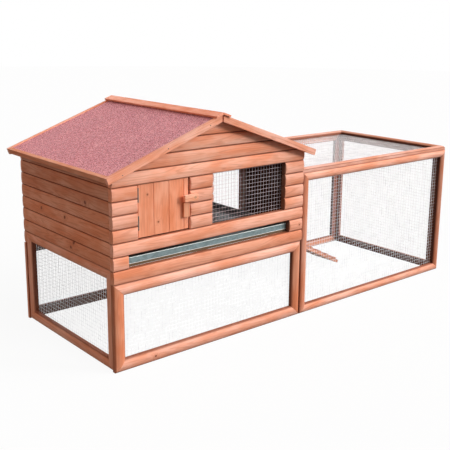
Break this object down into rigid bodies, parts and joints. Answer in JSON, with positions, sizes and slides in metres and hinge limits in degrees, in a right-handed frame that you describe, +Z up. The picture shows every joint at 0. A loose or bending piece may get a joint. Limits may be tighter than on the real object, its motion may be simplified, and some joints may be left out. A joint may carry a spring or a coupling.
{
  "type": "outdoor rabbit run",
  "caption": "Gabled log-faced rabbit house raised over an open storey, with a joined wire run, lift-up wire lid, ramp, hinged door and pull-out tray.",
  "frame": {"origin": "on the ground under the middle of the whole, seen from above", "axes": "+X to the right along the front, from the house to the run's far end; +Y from the front to the back; +Z up"},
  "size_m": [1.606, 0.637, 0.7447],
  "materials": {
    "fir_front": "satin stain",
    "fir_side": "satin stain",
    "floor_wood": "bare board",
    "mineral_felt": "coarse mineral grit",
    "wire": "galvanised",
    "tray_zinc": "galvanised sheet",
    "hinge_zinc": "zinc plated"
  },
  "bodies": {
    "hutch": {"front_frame": "fir_front", "front_frame_mesh": "wire", "left_frame": "fir_side", "left_frame_mesh": "wire", "rear_frame": "fir_side", "rear_frame_mesh": "wire", "right_head_rail": "fir_side", "floor_bearers": "fir_side", "floor_panel": "floor_wood", "front_log_bottom": "fir_front", "front_logs_slot": "fir_front", "front_log_sill": "fir_front", "front_logs_left": "fir_front", "front_logs_middle": "fir_front", "front_logs_right": "fir_front", "front_battens": "fir_side", "front_gable_logs": "fir_front", "left_wall_logs": "fir_side", "right_wall_logs_front": "fir_side", "right_wall_logs_rear": "fir_side", "right_wall_logs_top": "fir_side", "doorway_battens": "fir_side", "rear_wall_logs": "fir_side", "rear_gable_logs": "fir_side", "corner_battens": "fir_side", "roof_board_left": "floor_wood", "roof_board_right": "floor_wood", "felt_left": "mineral_felt", "felt_right": "mineral_felt", "eave_trims": "fir_front", "front_gable_trims": "fir_front", "rear_gable_trims": "fir_side", "ridge_cap": "fir_front", "window_mesh": "wire", "door_hinges_fixed": "hinge_zinc", "turn_screw": "hinge_zinc", "run_front_frame": "fir_front", "run_front_mesh": "wire", "run_back_frame": "fir_side", "run_back_mesh": "wire", "run_end_frame": "fir_side", "run_end_mesh": "wire", "lid_hinges_fixed": "hinge_zinc", "ramp_hinges_fixed": "hinge_zinc"},
    "door": {"door_boards": "fir_front", "door_ledges": "fir_side", "door_pull": "fir_front", "door_hinges_moving": "hinge_zinc"},
    "turn_button": {"turn_button": "fir_front"},
    "tray": {"tray": "tray_zinc"},
    "lid": {"lid_frame": "fir_front", "lid_mesh": "wire", "lid_hinges_moving": "hinge_zinc"},
    "ramp": {"ramp_board": "fir_front", "ramp_cleats": "fir_front", "ramp_hinges_moving": "hinge_zinc"}
  },
  "joints": [
    {"name": "door_hinge", "type": "hinge", "parent": "hutch", "child": "door", "pos_m": [-0.68329, -0.2842, 0.4745], "axis": [0, 0, -1], "range_deg": [0, 150]},
    {"name": "button_turn", "type": "hinge", "parent": "hutch", "child": "turn_button", "pos_m": [-0.48899, -0.2975, 0.4945], "axis": [0, 1, 0], "range_deg": [0, 90]},
    {"name": "tray_slide", "type": "slide", "parent": "hutch", "child": "tray", "axis": [0, -1, 0], "range_m": [0, 0.45]},
    {"name": "lid_hinge", "type": "hinge", "parent": "hutch", "child": "lid", "pos_m": [-0.01429, 0.0015, 0.5272], "axis": [0, -1, 0], "range_deg": [0, 55]},
    {"name": "ramp_hinge", "type": "hinge", "parent": "hutch", "child": "ramp", "pos_m": [-0.01529, 0.1035, 0.2902], "axis": [0, -1, 0], "range_deg": [0, 42]}
  ]
}
